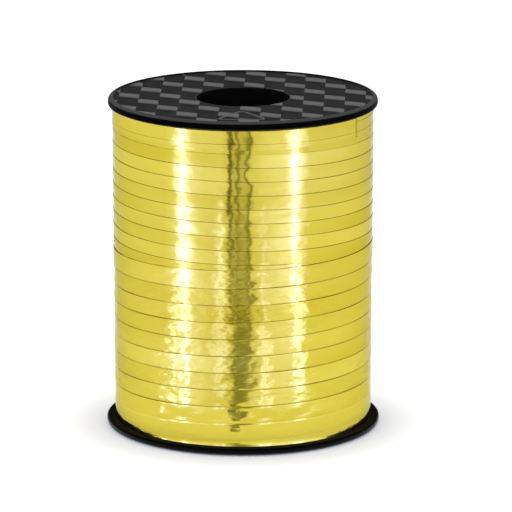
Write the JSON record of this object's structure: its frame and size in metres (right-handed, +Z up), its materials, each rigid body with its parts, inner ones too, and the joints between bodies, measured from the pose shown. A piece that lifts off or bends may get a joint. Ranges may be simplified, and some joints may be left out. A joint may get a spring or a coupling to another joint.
{
  "type": "spool of curling ribbon",
  "caption": "Spool of gold metallised curling ribbon on a black flanged plastic spool with a through bore; the cut ribbon end peels away.",
  "frame": {"origin": "centre of the lower flange's outer face, on which the spool stands", "axes": "+Z up along the spool's axis; -Y is the front, and the cut end of the ribbon lies to the right of it, towards +X"},
  "size_m": [0.072, 0.072, 0.0875],
  "materials": {
    "spool_black": "black moulded plastic, woven texture on the outer faces, semi-gloss rim",
    "core_black": "plain black extruded tube",
    "ribbon_gold": "mirror-like lemon-gold metallised film",
    "clear_tape": "clear adhesive tape"
  },
  "bodies": {
    "spool": {"lower_flange": "spool_black", "upper_flange": "spool_black", "core_tube": "core_black", "start_tape": "clear_tape", "ribbon_windings": "ribbon_gold", "ribbon_upper_turns": "ribbon_gold", "ribbon_lower_turns": "ribbon_gold", "ribbon_last_turn": "ribbon_gold"},
    "loose_end": {"ribbon_end": "ribbon_gold", "end_tape": "clear_tape"}
  },
  "joints": [
    {"name": "ribbon_end_peel", "type": "hinge", "parent": "spool", "child": "loose_end", "pos_m": [0.01383, -0.03105, 0.08265], "axis": [0, 0, -1], "range_deg": [0, 75]}
  ]
}
